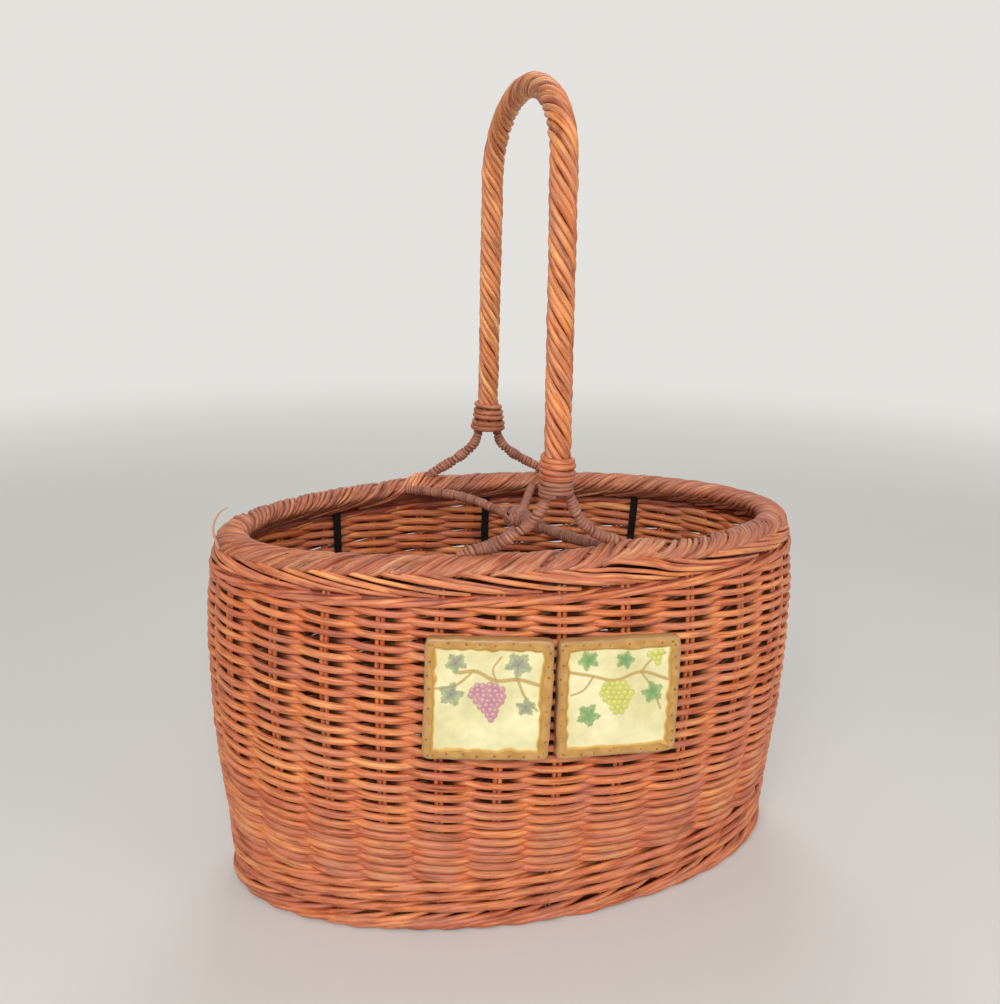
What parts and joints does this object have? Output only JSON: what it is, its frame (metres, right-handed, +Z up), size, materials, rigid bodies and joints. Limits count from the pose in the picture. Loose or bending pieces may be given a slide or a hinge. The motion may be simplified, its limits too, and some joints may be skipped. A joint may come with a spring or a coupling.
{
  "type": "wine bottle basket",
  "caption": "Oval woven wicker basket with a tall bow handle, a crossed cane divider that keeps bottle necks apart, and decorative tiles on the front.",
  "frame": {"origin": "on the table under the middle of the whole object's box, plaques included", "axes": "+X to the right along the oval's long way, +Y to the back, away from the plaques, +Z up along the handle"},
  "size_m": [0.3739, 0.2116, 0.4745],
  "materials": {
    "wicker": "stained willow, satin",
    "wicker_dark": "stained willow, matt",
    "willow_rods": "stained willow, satin",
    "wrapped_cane": "wrapped split cane, matt",
    "black_steel": "black paint, satin",
    "plaque": "cast resin, painted, satin"
  },
  "bodies": {
    "root": {"foot_border": "wicker", "base_lower": "wicker", "base_upper": "wicker", "base_stick_1": "wicker_dark", "base_stick_2": "wicker_dark", "base_stick_3": "wicker_dark", "base_stick_4": "wicker_dark", "base_stick_5": "wicker_dark", "upsett_wale": "wicker", "side_weave": "wicker", "top_wale": "wicker", "rim_border": "wicker", "stake_01": "wicker_dark", "stake_02": "wicker_dark", "stake_03": "wicker_dark", "stake_04": "wicker_dark", "stake_05": "wicker_dark", "stake_06": "wicker_dark", "stake_07": "wicker_dark", "stake_08": "wicker_dark", "stake_09": "wicker_dark", "stake_10": "wicker_dark", "stake_11": "wicker_dark", "stake_12": "wicker_dark", "stake_13": "wicker_dark", "stake_14": "wicker_dark", "stake_15": "wicker_dark", "stake_16": "wicker_dark", "stake_17": "wicker_dark", "stake_18": "wicker_dark", "stake_19": "wicker_dark", "stake_20": "wicker_dark", "stake_21": "wicker_dark", "stake_22": "wicker_dark", "stake_23": "wicker_dark", "stake_24": "wicker_dark", "stake_25": "wicker_dark", "stake_26": "wicker_dark", "handle_bow": "willow_rods", "collar_front": "wicker_dark", "collar_rear": "wicker_dark", "leg_front_left": "wrapped_cane", "leg_front_right": "wrapped_cane", "leg_rear_left": "wrapped_cane", "leg_rear_right": "wrapped_cane", "divider_cane_a": "wrapped_cane", "divider_cane_b": "wrapped_cane", "divider_knot": "wrapped_cane", "strap_left": "black_steel", "strap_middle": "black_steel", "strap_right": "black_steel", "plaque_left": "plaque", "plaque_right": "plaque"}
  },
  "joints": []
}
